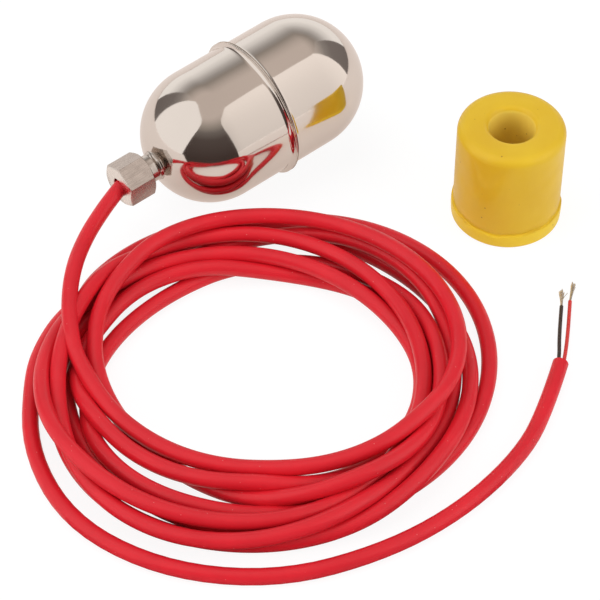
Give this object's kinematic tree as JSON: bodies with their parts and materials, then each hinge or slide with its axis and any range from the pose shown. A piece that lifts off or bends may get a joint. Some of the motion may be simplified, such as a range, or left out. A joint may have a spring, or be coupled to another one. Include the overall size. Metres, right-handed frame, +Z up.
{
  "type": "float level switch",
  "caption": "Sealed steel float with a ball-operated switch inside, a gland nut, a coiled two-core cable with bared ends, and a sliding counterweight.",
  "frame": {"origin": "on the surface the parts rest on, midway along and across the box of the float and its counterweight", "axes": "+X along the float towards its closed dome, seen from above; +Z up, along the bore of the standing counterweight"},
  "size_m": [0.2755, 0.2444, 0.0633],
  "materials": {
    "polished_steel": "mirror polished stainless steel",
    "turned_steel": "turned stainless steel",
    "brushed_nut": "brushed stainless steel with fine cross grain",
    "black_rubber": "matt rubber",
    "white_nylon": "moulded nylon",
    "plated_screw": "zinc plated steel",
    "bearing_steel": "ground and polished ball",
    "black_phenolic": "moulded thermoset",
    "spring_steel": "rolled spring steel",
    "red_acetal": "moulded acetal",
    "contact_brass": "tinned brass strip",
    "core_black_pvc": "smooth core sheath",
    "core_red_pvc": "smooth core sheath",
    "red_silicone": "smooth silicone sheath with a soft sheen",
    "bare_copper": "tinned copper strands",
    "yellow_coating": "thick dip coating, uneven gloss"
  },
  "bodies": {
    "root": {"float_shell_gland": "polished_steel", "float_shell_dome": "polished_steel", "gland_stem": "turned_steel", "gland_nut": "brushed_nut", "gland_washer": "turned_steel", "gland_seal": "black_rubber", "carrier_lower": "white_nylon", "carrier_upper": "white_nylon", "carrier_screws": "plated_screw", "switch_case": "black_phenolic", "switch_cover": "black_phenolic", "lever_pin": "plated_screw", "terminal_common": "contact_brass", "terminal_live": "contact_brass", "terminal_spare": "contact_brass", "inner_lead_black": "core_black_pvc", "inner_lead_red": "core_red_pvc", "cable_lead": "red_silicone", "cable_coil": "red_silicone", "cable_tail": "red_silicone", "core_black": "core_black_pvc", "core_red": "core_red_pvc", "strands_black": "bare_copper", "strands_red": "bare_copper", "counterweight": "yellow_coating"},
    "ball": {"steel_ball": "bearing_steel"},
    "lever": {"switch_lever": "spring_steel"},
    "plunger": {"switch_plunger": "red_acetal"},
    "contact": {"contact_arm": "contact_brass"}
  },
  "joints": [
    {"name": "ball_roll", "type": "slide", "parent": "root", "child": "ball", "axis": [0.9981, 0, 0.0611], "range_m": [0, 0.016]},
    {"name": "lever_swing", "type": "hinge", "parent": "root", "child": "lever", "pos_m": [-0.01995, 0.0427, 0.0224], "axis": [0, 1, 0], "range_deg": [0, 7.65]},
    {"name": "plunger_press", "type": "slide", "parent": "root", "child": "plunger", "axis": [0.9981, 0, 0.0611], "range_m": [0, 0.000751]},
    {"name": "contact_swing", "type": "hinge", "parent": "root", "child": "contact", "pos_m": [-0.0257, 0.0427, 0.0231], "axis": [0, 1, 0], "range_deg": [0, 9.38]}
  ],
  "couplings": [
    {"joint": "lever_swing", "follows": "ball_roll", "rad_per_m": 8.321},
    {"joint": "plunger_press", "follows": "ball_roll", "ratio": 0.046875},
    {"joint": "contact_swing", "follows": "ball_roll", "rad_per_m": 10.21}
  ]
}
